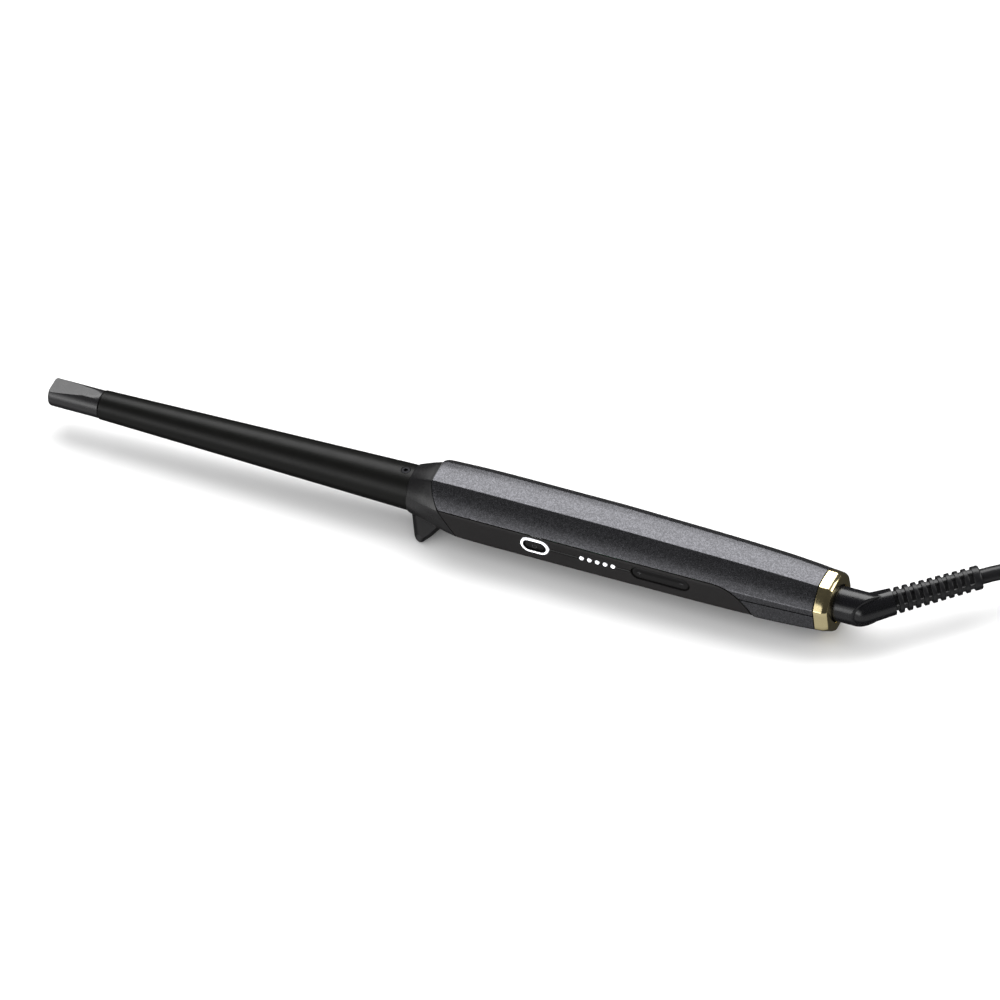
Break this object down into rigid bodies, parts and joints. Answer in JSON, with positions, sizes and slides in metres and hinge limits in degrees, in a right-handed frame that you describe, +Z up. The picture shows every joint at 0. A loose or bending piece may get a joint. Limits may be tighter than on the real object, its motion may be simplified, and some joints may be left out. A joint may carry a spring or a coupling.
{
  "type": "curling wand",
  "caption": "Conical curling wand with a cool tip, rest fin, octagonal handle with power button and temperature rocker, and a swivel lead put away as a tied hank.",
  "frame": {"origin": "on the flat face of the handle that rests on the table, on the wand's middle line", "axes": "+X along the wand from the cool tip to the lead, +Z up, and the controls face -Y"},
  "size_m": [0.677, 0.0742, 0.0318],
  "materials": {
    "tip_grey": "fine satin texture, dark grey",
    "barrel_coating": "dark satin ceramic coating",
    "collar_black": "smooth satin, dark grey",
    "graphite_shell": "metallic graphite paint with fine flakes",
    "panel_black": "soft-touch matte black",
    "light_white": "frosted white light guide",
    "pale_gold": "polished pale gold plating",
    "gloss_black": "polished black",
    "relief_rubber": "satin black elastomer",
    "cable_black": "satin black sheath",
    "tie_black": "woven hook-and-loop strap",
    "steel": "zinc-plated steel",
    "brass": "bright metal contacts",
    "aluminium": "cast aluminium",
    "ceramic_white": "white steatite ceramic",
    "board_green": "green solder mask",
    "component_black": "black moulded component",
    "wire_sleeve": "silicone wire sleeve"
  },
  "bodies": {
    "wand": {"cool_tip": "tip_grey", "barrel": "barrel_coating", "barrel_screw_1": "steel", "barrel_screw_2": "steel", "barrel_holder": "ceramic_white", "heater_core_upper": "aluminium", "heater_core_lower": "aluminium", "heating_plate": "ceramic_white", "thermistor": "component_black", "thermal_fuse": "steel", "collar": "collar_black", "upper_shell": "graphite_shell", "lower_shell": "graphite_shell", "control_panel": "panel_black", "shell_screw": "steel", "power_light_ring": "light_white", "main_board": "board_green", "power_switch": "component_black", "cooler_switch": "component_black", "warmer_switch": "component_black", "triac": "component_black", "capacitor": "component_black", "end_ring": "pale_gold", "swivel_socket": "component_black", "brush_1": "brass", "brush_2": "brass", "supply_lead_1": "wire_sleeve", "supply_lead_2": "wire_sleeve", "heater_lead_1": "wire_sleeve", "heater_lead_2": "wire_sleeve", "indicator_lens_1": "light_white", "indicator_lens_2": "light_white", "indicator_lens_3": "light_white", "indicator_lens_4": "light_white", "indicator_lens_5": "light_white"},
    "power_button": {"power_button": "panel_black"},
    "temperature_rocker": {"temperature_rocker": "panel_black"},
    "cord": {"swivel_neck": "gloss_black", "contact_ring_1": "brass", "contact_ring_2": "brass", "strain_relief": "relief_rubber", "cable": "cable_black", "cable_tail": "cable_black", "cable_hank": "cable_black", "cable_tie": "tie_black", "plug_body": "cable_black", "plug_pin_1": "brass", "plug_pin_2": "brass"}
  },
  "joints": [
    {"name": "power_button_press", "type": "slide", "parent": "wand", "child": "power_button", "axis": [0, 1, 0], "range_m": [0, 0.0006], "stiffness_N_per_m": 800},
    {"name": "temperature_rocker_tilt", "type": "hinge", "parent": "wand", "child": "temperature_rocker", "pos_m": [0.0398, -0.01449, 0.01779], "axis": [0, 0, 1], "range_deg": [-2, 2], "stiffness_Nm_per_rad": 0.6},
    {"name": "cord_swivel", "type": "hinge", "parent": "wand", "child": "cord", "pos_m": [0.1105, -0.00055, 0.01534], "axis": [1, 0, 0], "continuous": true}
  ]
}
